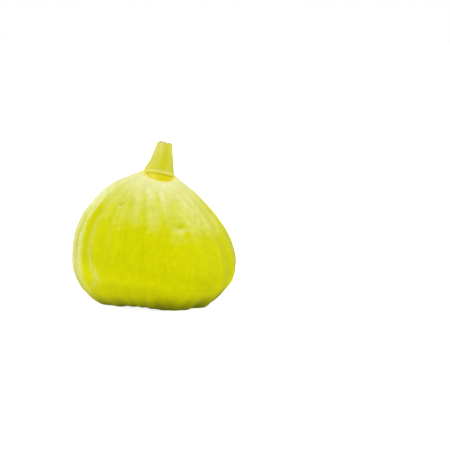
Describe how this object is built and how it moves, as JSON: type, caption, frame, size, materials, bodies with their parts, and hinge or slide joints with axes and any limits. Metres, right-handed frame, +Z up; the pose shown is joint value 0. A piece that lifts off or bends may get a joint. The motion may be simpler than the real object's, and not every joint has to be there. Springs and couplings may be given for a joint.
{
  "type": "fresh fig",
  "caption": "Whole fresh green fig standing on its base: a squat, ribbed, teardrop-shaped fruit with a short cut stalk on top and a small scaly eye underneath.",
  "frame": {"origin": "on the surface that the fig rests on, under the middle of its outline", "axes": "+Z up from the base towards the stalk, -Y out of the side that faces the viewer, +X to that viewer's right, the way the fruit leans"},
  "size_m": [0.0522, 0.0524, 0.0513],
  "materials": {
    "fruit_skin": "satin, faintly waxy yellow-green fruit skin, paler on the ribs and round the collar",
    "green_stalk": "matt, finely furrowed soft green stalk with a pale dry cut end",
    "dry_bracts": "matt, papery tan scales with darker edges"
  },
  "bodies": {
    "root": {"fig_body": "fruit_skin", "stalk": "green_stalk", "eye_scales": "dry_bracts"}
  },
  "joints": []
}
